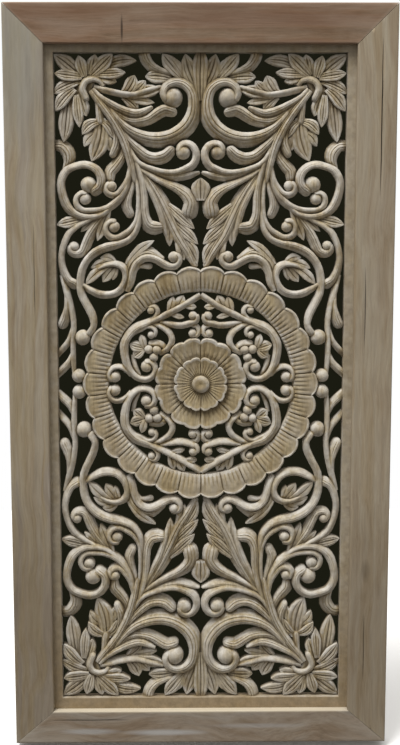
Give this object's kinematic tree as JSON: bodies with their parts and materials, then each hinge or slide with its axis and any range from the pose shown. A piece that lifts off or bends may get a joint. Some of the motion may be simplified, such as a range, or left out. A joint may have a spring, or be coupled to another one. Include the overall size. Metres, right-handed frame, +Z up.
{
  "type": "carved wall panel",
  "caption": "Tall openwork wooden wall panel: scrolls, leaf sprays and a round flower medallion carved in one board, held in a plain mitred frame.",
  "frame": {"origin": "on the wall plane, at the middle of the top rail's back face, where the panel is fixed to the wall", "axes": "+X to the right seen from the front, +Y back into the wall, +Z up"},
  "size_m": [0.615, 0.036, 1.2],
  "materials": {
    "stile_wood": "dry, grey-beige limed hardwood with fine grain and drying cracks",
    "top_rail_wood": "brown limed hardwood, darker than the stiles",
    "bottom_rail_wood": "grey limed hardwood with wavy figure",
    "carved_wood": "pale limed hardwood, whitish on the high places and brown in the hollows"
  },
  "bodies": {
    "root": {"left_stile": "stile_wood", "right_stile": "stile_wood", "top_rail": "top_rail_wood", "bottom_rail": "bottom_rail_wood", "carved_board": "carved_wood"}
  },
  "joints": []
}
